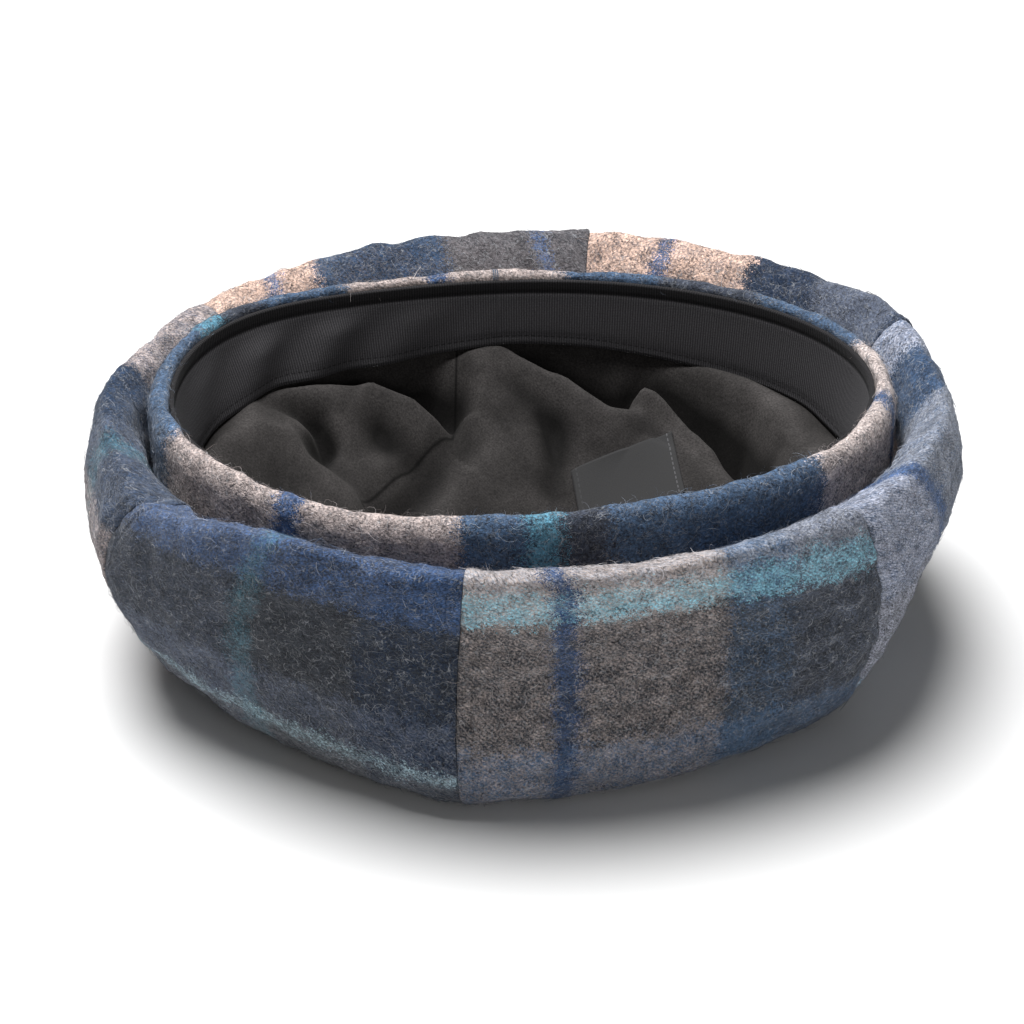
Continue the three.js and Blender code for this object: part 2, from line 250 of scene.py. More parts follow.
# Folds of the lining: each has a line of points x, y and rise, and a width on its left and on its right
FOLDS = table(
    "line left right",
    (  # left hump
        [(-88, 29, 2), (-77, 45, 3), (-58, 55, 4), (-43, 60, 6), (-30, 57, 5), (-23, 54, 4), (-19, 50, 2)],
        4, 13,
    ),
    ([(-64, 62, -9), (-42, 69, -22), (-26, 68, -26), (-18, 63, -16)], 7, 6),  # hollow behind the hump
    ([(-75, 45, -3), (-66, 47, -7), (-60, 46, -10), (-58, 42, -10), (-61, 36, -4)], 3.5, 3.5),  # pocket
    ([(-91, 22, 2), (-77, 33, 3), (-68, 34, 5), (-57, 27, 5), (-47, 23, 3)], 4, 13),  # near left roll
    ([(-46, 55, -2), (-40, 51, -6), (-33, 46, -4)], 6, 6),  # dimple of the hump
    ([(-15, 50, -4), (-28, 38, -6), (-42, 22, -6)], 6, 6),  # valley beside the seam
    (  # bulge's edge
        [(-19, 69, 2), (0, 72, 3), (9, 70, 4), (18, 65, 6), (31, 56, 6), (38, 50, 4), (42, 46, 1)],
        3.5, 9,
    ),
    ([(-4, 58, 3), (0, 35, 3)], 12, 12),  # bulge
    ([(-1, 66, -3), (11, 61, -5), (15, 55, -6), (15, 46, -5), (13, 37, -3)], 5.5, 4.5),  # valley of the bulge
    ([(10, 77, -18), (25, 70, -30), (36, 62, -26)], 7, 6),  # gap beside the bulge
    ([(31, 57, 0), (42, 60, 5), (51, 51, 5), (58, 43, 4), (63, 33, 3)], 3, 3),  # label shelf
    ([(44, 66, -12), (54, 55, -20), (64, 42, -24), (70, 32, -24), (74, 18, -14)], 5, 4.5),  # right valley
    ([(40, 66, 3), (50, 62, 4), (60, 53, 6), (70, 42, 7), (80, 26, 7), (86, 10, 5)], 12, 6),  # right roll
    ([(-60, -38, 5), (-22, -16, 5)], 11, 11),  # near left fold
    ([(24, -18, 5), (62, -36, 5)], 11, 11),  # near right fold
)
# How late the sewn edge flattens the folds: a power of the share of the way to it
FOLD_HOLD = 40
# Sewn seam of the lining, and the crease that it pulls into the cloth
LINING_SEAM = [(-13.6, 75), (-15.4, 63.6), (-17, 54), (-34, 42), (-48, 26), (-30, 8)]
SEAM_CREASE = Values(depth=0.9, spread=2.2)
# Distance at which a place of the lining is compared with the cloth around it, for the painted light on its
# ridges and painted shade in its hollows
HOLLOW_REACH = 8
HOLLOW_SIDES = 8

# How finely the pieces are meshed
PANEL_COLUMNS = 84
PANEL_ROW_STEP = 1.6
FLOOR_ROWS = 12
SEAT_ROWS = 6
BAND_COLUMNS = 360
BAND_STEPS = Values(leg=23, roll=13, turn_in=6, inner_leg=9, fold=7)
WELT_STEPS = 5
SWEATBAND_ROWS = 18
LINING_COLUMNS = 288
LINING_RINGS = 108
LABEL_COLUMNS = 61
LABEL_ROWS = 41
# Steps for measuring a curve
PANEL_MEASURE = 801
ROUND_MEASURE = 1441


def smoothstep(x, low, high):
    """0 below low, 1 above high, smooth between."""
    t = np.clip((x - low) / (high - low), 0, 1)
    return t * t * (3 - 2 * t)


def bell(distance, spread):
    """Bell curve that is 1 at the middle."""
    return np.exp(-((distance / spread) ** 2))


def unit(vectors):
    """Vectors at length 1."""
    return vectors / np.maximum(np.linalg.norm(vectors, axis=-1, keepdims=True), 1e-12)


def turn_from(angles, middle):
    """Turns from a middle angle, from -180 to 180."""
    return (angles - middle + 180) % 360 - 180


def outward(angles):
    """Level directions at these angles."""
    return np.stack([np.sin(np.radians(angles)), -np.cos(np.radians(angles)), 0 * angles], -1)


def lengths_along(points, axis):
    """Distance run along an axis of a grid of points, from its start."""
    steps = np.linalg.norm(np.diff(points, axis=axis), axis=-1)
    start = np.zeros_like(np.take(steps, [0], axis=axis))
    return np.concatenate([start, np.cumsum(steps, axis=axis)], axis=axis)


def bend(middle, width, height, start, end, steps):
    """Points on a part of an oval, between two angles in radians."""
    turn = np.linspace(start, end, steps)
    return np.stack([middle[0] + width * np.cos(turn), middle[1] + height * np.sin(turn)], -1)


def ripple(x, y, wavelengths, seed):
    """Smooth unevenness of cloth from about -1 to 1: waves of several lengths and directions."""
    rng = np.random.default_rng(seed)
    total = np.zeros(np.broadcast(x, y).shape)
    for length in wavelengths:
        turn, phase = rng.uniform(0, 2 * math.pi, 2)
        total += np.sin(2 * math.pi * (x * math.cos(turn) + y * math.sin(turn)) / length + phase)
    return total / math.sqrt(len(wavelengths))


# The crown's surface

def seam_angles(alongs):
    """Angles of every seam at these sections, and of the first one after a whole turn: alongs, seams."""
    stops = list(SEAM_STOPS)
    lines = []
    for seam in SEAMS:
        line = seam[stops[0]] + 0 * alongs
        for stop, next_stop in zip(stops, stops[1:]):
            share = smoothstep(alongs, SEAM_STOPS[stop] - SEAM_EASE, SEAM_STOPS[next_stop] + SEAM_EASE)
            line = line + (seam[next_stop] - seam[stop]) * share
        lines.append(line)
    return np.stack([*lines, lines[0] + 360], -1)


def between_seams(angles, alongs):
    """Turns from the seam before each angle, and the whole turn from that seam to the next one."""
    seams = seam_angles(alongs)
    turned = (angles - seams[:, :1]) % 360 + seams[:, :1]
    panel = np.clip((turned[..., None] >= seams[:, None]).sum(-1) - 1, 0, len(SEAMS) - 1)
    before, after = (np.take_along_axis(seams, panel + k, 1) for k in (0, 1))
    return turned - before, after - before


def section_points(angles):
    """Points of every crown section at a grid of angles: sections, rows, columns, xyz."""
    facing, sideways = np.cos(np.radians(angles)), np.sin(np.radians(angles))
    points = []
    for i, section in enumerate(SECTIONS):
        turn, width = between_seams(angles, np.full(len(angles), float(i)))
        chord = np.cos(np.radians(width / 2)) / np.cos(np.radians(turn - width / 2)) / MEAN_CHORD
        factor = 1 + (chord - 1) * section["corner"]
        depth = np.where(facing > 0, section["front"], section["back"])
        z = section["z_back"] + (section["z_front"] - section["z_back"]) * (1 + facing) / 2
        points.append(np.stack([section["half_width"] * factor * sideways, -depth * factor * facing, z], -1))
    return np.array(points)


def smooth_through(points, alongs):
    """Smooth curve through the sections' points, read at one place along for each row."""
    padded = np.concatenate([2 * points[:1] - points[1:2], points, 2 * points[-1:] - points[-2:-1]])
    section = np.minimum(alongs.astype(int), len(points) - 2)
    rows = np.arange(len(alongs))
    s = (alongs - section)[:, None, None]
    p0, p1, p2, p3 = (padded[section + k, rows] for k in range(4))
    d0, d1, d2 = (np.sqrt(np.linalg.norm(step, axis=-1, keepdims=True)) for step in (p1 - p0, p2 - p1, p3 - p2))
    m1 = (p2 - p1) + d1 * ((p1 - p0) / d0 - (p2 - p0) / (d0 + d1))
    m2 = (p2 - p1) + d1 * ((p3 - p2) / d2 - (p3 - p1) / (d1 + d2))
    square, cube = s ** 2, s ** 3
    from_ends = (2 * cube - 3 * square + 1) * p1 + (3 * square - 2 * cube) * p2
    return from_ends + (cube - 2 * square + s) * m1 + (cube - square) * m2


def crown_points(angles, alongs):
    """Grid of points of the crown's outer face: a row of angles for each place along, counted in sections."""
    points = smooth_through(section_points(angles), alongs)
    radius = np.hypot(points[..., 0], points[..., 1])
    along = alongs[:, None]
    turn, width = between_seams(angles, alongs)
    from_seam = np.radians(np.minimum(turn, width - turn)) * radius
    begun = smoothstep(along, SEAM_PINCH.starts, SEAM_PINCH.full)
    left = 1 - smoothstep(along, SEAM_PINCH.fades, SEAM_PINCH.ends)
    inward = SEAM_PINCH.depth * bell(from_seam, SEAM_PINCH.spread) * begun * left
    for dent in DENTS:
        share = bell(turn_from(angles, dent["angle"]), dent["spread"])
        share = share * bell(along - dent["section"], dent["reach"])
        inward = inward + dent["inward"] * share
        points[..., 2] -= dent["drop"] * share
    points[..., :2] *= (1 - inward / radius)[..., None]
    points[..., 2] = np.maximum(points[..., 2], 0)
    return points


def grid_normals(points):
    """Outward directions of a grid of points whose rows run along and columns across."""
    along = np.gradient(points, axis=0)
    across = np.gradient(points, axis=1)
    return unit(np.cross(across, along))


def ring_normals(points):
    """Outward directions of a grid of points whose columns go all the way round."""
    return grid_normals(np.pad(points, ((0, 0), (1, 1), (0, 0)), mode="wrap"))[:, 1:-1]


# Meshes

def grid_quads(rows, columns, wraps_rows=False, wraps_columns=False):
    """Quads of a grid of points stored row after row."""
    row = np.arange(rows if wraps_rows else rows - 1)[:, None]
    column = np.arange(columns if wraps_columns else columns - 1)[None, :]
    next_row, next_column = (row + 1) % rows, (column + 1) % columns
    corners = [row * columns + column, row * columns + next_column,
               next_row * columns + next_column, next_row * columns + column]
    return np.stack([c + np.zeros_like(corners[0]) for c in corners], -1).reshape(-1, 4)


def wall(front, back, wraps=False):
    """Points and quads of a wall: a grid, another behind it turned round, and a rim along the open edges."""
    quads = grid_quads(*front.shape[:2], False, wraps)
    points = np.concatenate([front.reshape(-1, 3), back.reshape(-1, 3)])
    count = len(points) // 2
    starts, ends = quads.ravel(), np.roll(quads, -1, axis=1).ravel()
    forward = starts * count + ends
    is_open = ~np.isin(forward, ends * count + starts)
    rim = np.stack([ends, starts, starts + count, ends + count], -1)[is_open]
    return points, np.concatenate([quads, quads[:, ::-1] + count, rim])


def both_faces(**grids):
    """Attributes of a wall's points, the same on its front and its back."""
    return {name: np.concatenate([grid, grid]).reshape(-1, *grid.shape[2:]) for name, grid in grids.items()}


def placed(name, data):
    """New object in the scene."""
    made = bpy.data.objects.new(name, data)
    bpy.context.scene.collection.objects.link(made)
    return made


def mesh_piece(name, points, quads, material, **attributes):
    """Piece of the cap from points in millimetres, with named attributes on its points."""
    mesh = bpy.data.meshes.new(name)
    mesh.vertices.add(len(points))
    mesh.vertices.foreach_set("co", (points * MM + ORIGIN).astype(np.float32).ravel())
    mesh.loops.add(quads.size)
    mesh.loops.foreach_set("vertex_index", quads.astype(np.int32).ravel())
    mesh.polygons.add(len(quads))
    mesh.polygons.foreach_set("loop_start", np.arange(0, quads.size, 4, dtype=np.int32))
    mesh.polygons.foreach_set("use_smooth", np.ones(len(quads), bool))
    for key, values in attributes.items():
        kind, field = ("FLOAT", "value") if values.ndim == 1 else ("FLOAT_VECTOR", "vector")
        mesh.attributes.new(key, kind, "POINT").data.foreach_set(field, values.astype(np.float32).ravel())
    mesh.update(calc_edges=True)
    mesh.validate()
    mesh.materials.append(material)
    piece = placed(name, mesh)
    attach(piece, BODY)
    return piece


# Materials

# Uneven values: noise that gives values from low to high over its reach to both sides of its middle
UNEVEN = {row["of"]: row for row in table(
    "of scale detail roughness reach low high",
    ("heather", 1.5, 3, 0.7, 0.15, -0.45, 0.45),
    ("patches", 0.25, 2, 0.6, 0.15, -0.2, 0.2),
    ("nap", 0.3, 3, 0.6, 0.15, 0, 0.28),
    ("fleck", 1.1, 3, 0.7, 0.17, 0.45, 1.55),
    ("mottle", 0.17, 3, 0.6, 0.18, 0.78, 1.22),
    ("strands", 0.4, 2, 0.5, 0.08, 0, 1),
    ("knit", 2.2, 4, 0.7, 0.2, 0.6, 1.45),
    ("dust", 0.07, 4, 0.6, 0.2, 0.65, 1.35),
    ("yarn", 1.7, 3, 0.7, 0.2, 0.5, 1.5),
    ("satin", 3, 3, 0.7, 0.2, 0.8, 1.2),
)}
# Middle of the noises
MIDDLE = 0.5


class Nodes:
    """Short names for the nodes of one material."""

    def __init__(self, name):
        self.material = bpy.data.materials.new(name)
        self.material.use_nodes = True
        self.tree = self.material.node_tree
        self.shader = self.tree.nodes["Principled BSDF"]

    def node(self, kind, inputs=(), **settings):
        made = self.tree.nodes.new(kind)
        for key, value in settings.items():
            setattr(made, key, value)
        for key, value in dict(inputs).items():
            self.put(made.inputs[key], value)
        return made

    def put(self, socket, value):
        if isinstance(value, bpy.types.NodeSocket):
            self.tree.links.new(value, socket)
        else:
            socket.default_value = value

    def attribute(self, name, output="Vector"):
        return self.node("ShaderNodeAttribute", attribute_name=name).outputs[output]

    def math(self, operation, *values, clamp=False):
        made = self.node("ShaderNodeMath", operation=operation, use_clamp=clamp)
        for socket, value in zip(made.inputs, values):
            self.put(socket, value)
        return made.outputs[0]

    def product(self, first, *others):
        for value in others:
            first = self.math("MULTIPLY", first, value)
        return first

    def apart(self, first, second):
        """Distance between two values."""
        return self.math("ABSOLUTE", self.math("SUBTRACT", first, second))

    def waves(self, value, pitch):
        """Waves along a coordinate, from -1 to 1."""
        return self.math("SINE", self.math("MULTIPLY", value, 2 * math.pi / pitch))

    def ridges(self, waves, depth):
        """Shade that goes this far below and above 1 with waves."""
        return self.spread(waves, -1, 1, 1 - depth, 1 + depth)

    def axes(self, vector):
        return self.node("ShaderNodeSeparateXYZ", {0: vector}).outputs

    def vector(self, operation, first, second):
        made = self.node("ShaderNodeVectorMath", operation=operation)
        self.put(made.inputs[0], first)
        self.put(made.inputs["Scale" if operation == "SCALE" else 1], second)
        return made.outputs[0]

    def noise(self, vector, scale, detail=2.0, roughness=0.5, output="Fac"):
        inputs = {"Vector": vector, "Scale": scale, "Detail": detail, "Roughness": roughness}
        return self.node("ShaderNodeTexNoise", inputs).outputs[output]

    def uneven(self, name, vector):
        """Noise of a row of UNEVEN, and the values that it gives."""
        row = UNEVEN[name]
        noise = self.noise(vector, row["scale"], row["detail"], row["roughness"])
        return noise, self.spread(noise, MIDDLE - row["reach"], MIDDLE + row["reach"], row["low"], row["high"])

    def strands(self, vector, scale, width):
        """Thin curled lines: 1 on a line and 0 off it."""
        off_line = self.apart(self.noise(vector, scale, STRAND.detail), MIDDLE)
        return self.spread(off_line, 0, width, 1, 0)

    def spread(self, value, low, high, to_low, to_high):
        inputs = {"Value": value, "From Min": low, "From Max": high, "To Min": to_low, "To Max": to_high}
        return self.node("ShaderNodeMapRange", inputs).outputs[0]

    def mix(self, factor, first, second):
        inputs = {"Factor": factor, "A": first, "B": second}
        return self.node("ShaderNodeMix", inputs, data_type="RGBA").outputs["Result"]

    def shade(self, colour, factor):
        """Colour made lighter or darker."""
        return self.vector("SCALE", colour, factor)

    def stripes(self, value, rows):
        """Colours of stripes along a coordinate: each row has a dye and the place where it ends."""
        first, last = rows[0][1] - 1, rows[-1][1]
        ramp = self.node("ShaderNodeValToRGB", {"Fac": self.spread(value, first, last, 0, 1)})
        ramp.color_ramp.interpolation = "CONSTANT"
        stops = ramp.color_ramp.elements
        stops.remove(stops[1])
        stops[0].position = 0
        stops[0].color = (*DYES[rows[0][0]], 1)
        for (_, begins), (dye, _) in zip(rows, rows[1:]):
            stops.new((begins - first) / (last - first)).color = (*DYES[dye], 1)
        return ramp.outputs["Color"]

    def bump(self, height, distance, strength):
        inputs = {"Height": height, "Distance": distance * MM, "Strength": strength}
        self.put(self.shader.inputs["Normal"], self.node("ShaderNodeBump", inputs).outputs[0])

    def finish(self, colour, roughness, sheen, tint, specular):
        values = {
            "Base Color": colour, "Roughness": roughness, "Sheen Weight": sheen, "Sheen Roughness": 0.5,
            "Sheen Tint": tint, "Specular IOR Level": specular,
        }
        for name, value in values.items():
            self.put(self.shader.inputs[name], value)
        return self.material


# Waves in which felted threads stray from their stripes
STRAY = table("scale reach detail roughness", (2.4, 18, 2, 0.6), (0.55, 10, 2, 0.6), (0.13, 8, 2, 0.6))
# Twill of the wool, and how it wanders
TWILL = Values(pitch=1.7, share=0.15, wander_scale=0.4, wander=4)
# Row of stitches beside each seam, with painted shade in the furrow that it pulls, and painted shade in the
# cloth's groove right at the seam
TOPSTITCH = Values(from_seam=4, half_width=0.4, shade=0.8)
SEAM_PAINTED_SHADE = Values(shade=0.85, ends=1)
# Nap of mixed fibres that hides part of the plaid
NAP = (0.045, 0.047, 0.054, 1)
# Curled strands in the wool's face
STRANDS = table(
    "scale width share colour",
    (0.33, 0.018, 0.75, (0.29, 0.30, 0.32, 1)),
    (0.55, 0.028, 0.55, (0.22, 0.225, 0.235, 1)),
    (0.6, 0.045, 0.8, (0.014, 0.015, 0.019, 1)),
)
# Their noise: its detail, the step from kind to kind, and how high the strands stand out
STRAND = Values(detail=1.5, step=17, relief=0.3)
# Loose fibres: share of the level threads, and how far they go towards the pale colour
FIBRE_LOOK = Values(
    level=0.45, pale=(0.46, 0.47, 0.49, 1), least=0.05, most=0.5, from_tone=0.2, shade=0.3,
)


def wool_colour(n, plaid, cloth, weave):
    """Plaid colour at cloth coordinates: weave goes from upright threads (0) to level ones (1)."""
    x, y, _ = n.axes(cloth)
    return n.mix(weave, n.stripes(x, plaid["across"]), n.stripes(y, plaid["up"]))


def level_share(n, plaid, y, strayed):
    """Share of the level threads in the face of the cloth."""
    share = n.spread(y, TOP_FROM, TOP_TO, plaid["level"], plaid["top"])
    if "bold" not in plaid:
        return share
    first, last = plaid["bold"]
    half = (last - first) / 2
    off_line = n.apart(n.axes(strayed)[0], (first + last) / 2)
    taken = n.spread(off_line, half - BOLD.soft, half + BOLD.soft, BOLD.share, 0)
    return n.math("SUBTRACT", share, taken)


def wool_material(name, plaid):
    """Felted plaid wool: heathered threads, a nap, curled strands, a hint of twill, and stitched seams with
    painted shade in their grooves and furrows.
    """
    n = Nodes(name)
    cloth = n.attribute("cloth")
    strayed = cloth
    for row in STRAY:
        noise = n.noise(cloth, row["scale"], row["detail"], row["roughness"], "Color")
        wave = n.vector("SUBTRACT", noise, (MIDDLE, MIDDLE, MIDDLE))
        strayed = n.vector("ADD", strayed, n.vector("SCALE", wave, row["reach"]))
    x, y, _ = n.axes(cloth)
    diagonal = n.math("MULTIPLY_ADD", n.noise(cloth, TWILL.wander_scale), TWILL.wander, n.math("ADD", x, y))
    heather = n.math("ADD", n.uneven("heather", cloth)[1], level_share(n, plaid, y, strayed))
    twill = n.math("MULTIPLY_ADD", n.waves(diagonal, TWILL.pitch), TWILL.share, n.uneven("patches", cloth)[1])
    colour = wool_colour(n, plaid, strayed, n.math("ADD", heather, twill, clamp=True))
    colour = n.mix(n.uneven("nap", cloth)[1], colour, NAP)
    height, fleck = n.uneven("fleck", cloth)
    colour = n.shade(colour, fleck)
    for i, row in enumerate(STRANDS):
        moved = n.vector("ADD", cloth, (0, 0, STRAND.step * (i + 1)))
        lines = n.strands(moved, row["scale"], row["width"])
        strand = n.product(lines, n.uneven("strands", moved)[1], row["share"])
        colour = n.mix(strand, colour, row["colour"])
        height = n.math("MULTIPLY_ADD", strand, STRAND.relief, height)
    seam = n.attribute("seam", "Fac")
    # Painted shade in the stitches' furrow and in the groove right at the seam
    off_row = n.apart(seam, TOPSTITCH.from_seam)
    furrow = n.spread(off_row, 0, TOPSTITCH.half_width, TOPSTITCH.shade, 1)
    edge = n.spread(seam, 0, SEAM_PAINTED_SHADE.ends, SEAM_PAINTED_SHADE.shade, 1)
    colour = n.shade(colour, n.product(n.uneven("mottle", cloth)[1], furrow, edge))
    n.bump(height, distance=0.8, strength=0.6)
    return n.finish(colour, roughness=0.95, sheen=0.15, tint=(0.8, 0.82, 0.86, 1), specular=0.1)


def fibre_material(name, plaid):
    """Loose fibres of the same wool, paler than the cloth under them."""
    n = Nodes(name)
    tone = n.attribute("tone", "Fac")
    colour = wool_colour(n, plaid, n.attribute("cloth"), FIBRE_LOOK.level)
    paleness = n.spread(tone, FIBRE_LOOK.from_tone, 1, FIBRE_LOOK.least, FIBRE_LOOK.most)
    shade = n.spread(tone, 0, 1, 1 - FIBRE_LOOK.shade, 1 + FIBRE_LOOK.shade)
    colour = n.shade(n.mix(paleness, colour, FIBRE_LOOK.pale), shade)
    return n.finish(colour, roughness=0.9, sheen=0.2, tint=(0.9, 0.9, 0.9, 1), specular=0.1)


# Colours of the black cloths and of the label's thread
RIB_BLACK = (0.06, 0.058, 0.062)
TWILL_BLACK = (0.0255, 0.0235, 0.023)
LABEL_BLACK = (0.024, 0.0238, 0.0245)
LABEL_THREAD = (0.16, 0.16, 0.17, 1)
# Ribs, courses and welt of the sweatband's knit; the welt gets painted shade
RIBS = Values(pitch=0.85, columns=900, shade=0.4, relief=0.5, course=0.9, course_shade=0.04)
WELT_PAINTED_SHADE = 0.3
# Twill of the lining, the painted shade along its seam's crease, and painted light on its ridges and painted
# shade in its hollows, by height in millimetres
COTTON = Values(pitch=0.9, shade=0.06, relief_scale=2.5, relief_detail=3, relief_roughness=0.7)
LINING_SEAM_PAINTED_SHADE = Values(half_width=0.1, ends=0.6, shade=0.25)
PAINTED_HOLLOW_SHADE = Values(ridge=-2.5, hollow=3.5, on_ridge=1.4, in_hollow=0.25)
# Picks of the label's weave
PICKS = Values(pitch=0.5, shade=0.03)
# Sewing of the sweatband's edge and of the label's sides
HEM_STITCH = Values(
    above_edge=2.7, half_width=0.35, pitch=2.2, filled=0.65, shade=0.4,
    groove=0.25, groove_spread=0.5,
)
LABEL_STITCH = Values(from_edge=1.6, half_width=0.25, pitch=1.7, filled=0.6, left=0.12, right=0.5)


def stitches(n, off_row, along, sewing):
    """1 on the stitches of a row and 0 off them."""
    filled = n.math("LESS_THAN", n.math("FRACT", n.math("DIVIDE", along, sewing.pitch)), sewing.filled)
    return n.math("MULTIPLY", n.spread(off_row, 0, sewing.half_width, 1, 0), filled)


def rib_material():
    """Black knitted rib of the sweatband, with the stitches of its edge and painted shade on its welt."""
    n = Nodes("rib_knit")
    knit = n.attribute("cloth")
    x, y, _ = n.axes(knit)
    fuzz, shade = n.uneven("knit", knit)
    courses = n.ridges(n.waves(y, RIBS.course), RIBS.course_shade)
    ribs = n.waves(x, RIBS.pitch)
    off_row = n.apart(n.attribute("hem", "Fac"), HEM_STITCH.above_edge)
    sewn = n.spread(stitches(n, off_row, x, HEM_STITCH), 0, 1, 1, HEM_STITCH.shade)
    # Painted shade over the welt at the sweatband's top
    welt = n.spread(n.attribute("welt", "Fac"), 0, 1, 1, WELT_PAINTED_SHADE)
    shade = n.product(shade, courses, n.ridges(ribs, RIBS.shade), sewn, welt)
    n.bump(n.math("MULTIPLY_ADD", ribs, RIBS.relief, fuzz), distance=0.3, strength=0.4)
    colour = n.shade(RIB_BLACK, shade)
    return n.finish(colour, roughness=0.9, sheen=0.06, tint=(0.7, 0.7, 0.72, 1), specular=0.08)


def twill_material():
    """Black cotton twill of the lining, slightly brown and unevenly dusty, with painted light on its ridges and
    painted shade in its hollows and along its seam's crease.
    """
    n = Nodes("cotton_twill")
    cloth = n.attribute("cloth")
    x, y, _ = n.axes(cloth)
    twill = n.ridges(n.waves(n.math("ADD", x, y), COTTON.pitch), COTTON.shade)
    off_seam = n.math("ABSOLUTE", n.attribute("seam", "Fac"))
    # Painted shade along the crease of the lining's seam
    seam = n.spread(off_seam, LINING_SEAM_PAINTED_SHADE.half_width, LINING_SEAM_PAINTED_SHADE.ends, LINING_SEAM_PAINTED_SHADE.shade, 1)
    hollow = n.attribute("hollow", "Fac")
    # Painted light on the ridges and painted shade in the hollows, from how far each place lies below the cloth
    # around it
    painted_hollow_shade = n.spread(hollow, PAINTED_HOLLOW_SHADE.ridge, PAINTED_HOLLOW_SHADE.hollow, PAINTED_HOLLOW_SHADE.on_ridge, PAINTED_HOLLOW_SHADE.in_hollow)
    shade = n.product(n.uneven("dust", cloth)[1], n.uneven("yarn", cloth)[1], seam, twill, painted_hollow_shade)
    relief = n.noise(cloth, COTTON.relief_scale, COTTON.relief_detail, COTTON.relief_roughness)
    n.bump(relief, distance=0.1, strength=0.5)
    colour = n.shade(TWILL_BLACK, shade)
    return n.finish(colour, roughness=0.85, sheen=0.05, tint=(0.7, 0.68, 0.65, 1), specular=0.1)


def label_material():
    """Black woven label: a fine dull satin, sewn down on both sides, with paler thread on the right."""
    n = Nodes("woven_label")
    cloth = n.attribute("cloth")
    x, y, _ = n.axes(cloth)
    yarn = n.uneven("satin", cloth)[1]
    n.bump(yarn, distance=0.04, strength=0.5)
    shade = n.product(yarn, n.ridges(n.waves(y, PICKS.pitch), PICKS.shade))
    row = LABEL.width / 2 - LABEL_STITCH.from_edge
    sewn = stitches(n, n.apart(n.math("ABSOLUTE", x), row), y, LABEL_STITCH)
    seen = n.spread(x, -row, row, LABEL_STITCH.left, LABEL_STITCH.right)
    colour = n.mix(n.product(sewn, seen), n.shade(LABEL_BLACK, shade), LABEL_THREAD)
    return n.finish(colour, roughness=0.7, sheen=0.03, tint=(0.8, 0.8, 0.85, 1), specular=0.12)


# Loose fibres

# Number of fibres on a panel and on the headband, and their form; curl and bend are in radians
FIBRES = Values(
    panel=7000, headband=11000, segments=5, length=3, length_spread=0.55, longest=2, lift=0.2,
    root=0.05, curl=1.9, bend=1.2, half_width=0.036, width_spread=0.4, taper=0.7,
)
# Direction that no part of the cloth faces exactly, for laying the fibres
ASKEW = np.array([0.31, 0.22, 0.93])


def fibres(name, grid, normals, cloth, weights, count, seed, material):
    """Curled fibres on a grid of points, as narrow ribbons. weights say where they grow."""
    segments = FIBRES.segments
    rng = np.random.default_rng(seed)
    corner = grid[:-1, :-1]
    area = np.linalg.norm(np.cross(grid[1:, :-1] - corner, grid[:-1, 1:] - corner), axis=-1)
    chance = (area * weights[:-1, :-1]).ravel()
    cell = rng.choice(len(chance), count, p=chance / chance.sum())
    row, column = np.divmod(cell, area.shape[1])
    s, t = rng.random((2, count, 1))

    def at(values):
        low = values[row, column] * (1 - t) + values[row, column + 1] * t
        high = values[row + 1, column] * (1 - t) + values[row + 1, column + 1] * t
        return low * (1 - s) + high * s

    root, up, place = at(grid), unit(at(normals)), at(cloth)
    side = unit(np.cross(up, ASKEW))
    forth = np.cross(up, side)
    longer = np.exp(rng.normal(0, FIBRES.length_spread, count))
    reach = FIBRES.length * np.minimum(longer, FIBRES.longest)
    heading = rng.uniform(0, 2 * math.pi, count)
    curl = rng.normal(0, FIBRES.curl, count)
    bend = rng.normal(0, FIBRES.bend, count)
    rise = FIBRES.lift * rng.exponential(1, count)
    share = np.linspace(0, 1, segments + 1)
    turned = heading[:, None] + curl[:, None] * share + bend[:, None] * share ** 2
    step = (reach / segments)[:, None]
    x = np.concatenate([np.zeros((count, 1)), np.cumsum(np.cos(turned[:, 1:]) * step, 1)], 1)
    y = np.concatenate([np.zeros((count, 1)), np.cumsum(np.sin(turned[:, 1:]) * step, 1)], 1)
    height = FIBRES.root + rise[:, None] * np.sin(math.pi * share * rng.uniform(0.5, 1, (count, 1)))
    path = root[:, None] + side[:, None] * x[..., None] + forth[:, None] * y[..., None]
    path = path + up[:, None] * height[..., None]
    ahead = unit(np.gradient(path, axis=1))
    roll = rng.uniform(0, math.pi, count)[:, None, None]
    flat = unit(np.cross(ahead, up[:, None]))
    wide = flat * np.cos(roll) + np.cross(flat, ahead) * np.sin(roll)
    half = FIBRES.half_width * np.exp(rng.normal(0, FIBRES.width_spread, count))
    half = half[:, None] * (1 - FIBRES.taper * share ** 2)
    points = np.stack([path - wide * half[..., None], path + wide * half[..., None]], 2)
    points[..., 2] = np.maximum(points[..., 2], 0)
    quad = grid_quads(segments + 1, 2)
    each = 2 * (segments + 1)
    quads = (quad[None] + (np.arange(count) * each)[:, None, None]).reshape(-1, 4)
    attributes = {"cloth": np.repeat(place, each, 0), "tone": np.repeat(rng.random(count) ** 2, each)}
    return mesh_piece(name, points.reshape(-1, 3), quads, material, **attributes)


# Pieces

# Sections of a panel that are meshed evenly, and those where its relief and fibres show
EVEN_ROWS = (1.8, 6.5)
RELIEF_SHOWS = Values(starts=1.6, full=2.4, fades=6, ends=7.5)
# Relief of the wool: lengths and heights of its waves and lumps, its rolled seams and the stitches' furrow
CLOTH_WAVES = (31, 23, 17, 14, 11)
CLOTH_LUMPS = (7.5, 6.1, 5.2, 4.3, 3.7)
PANEL_RELIEF = Values(waves=0.5, lumps=0.16, lump_seeds=10)
SEAM_ROLL = Values(depth=0.22, spread=0.8)
FURROW = Values(depth=0.35, spread=0.5)
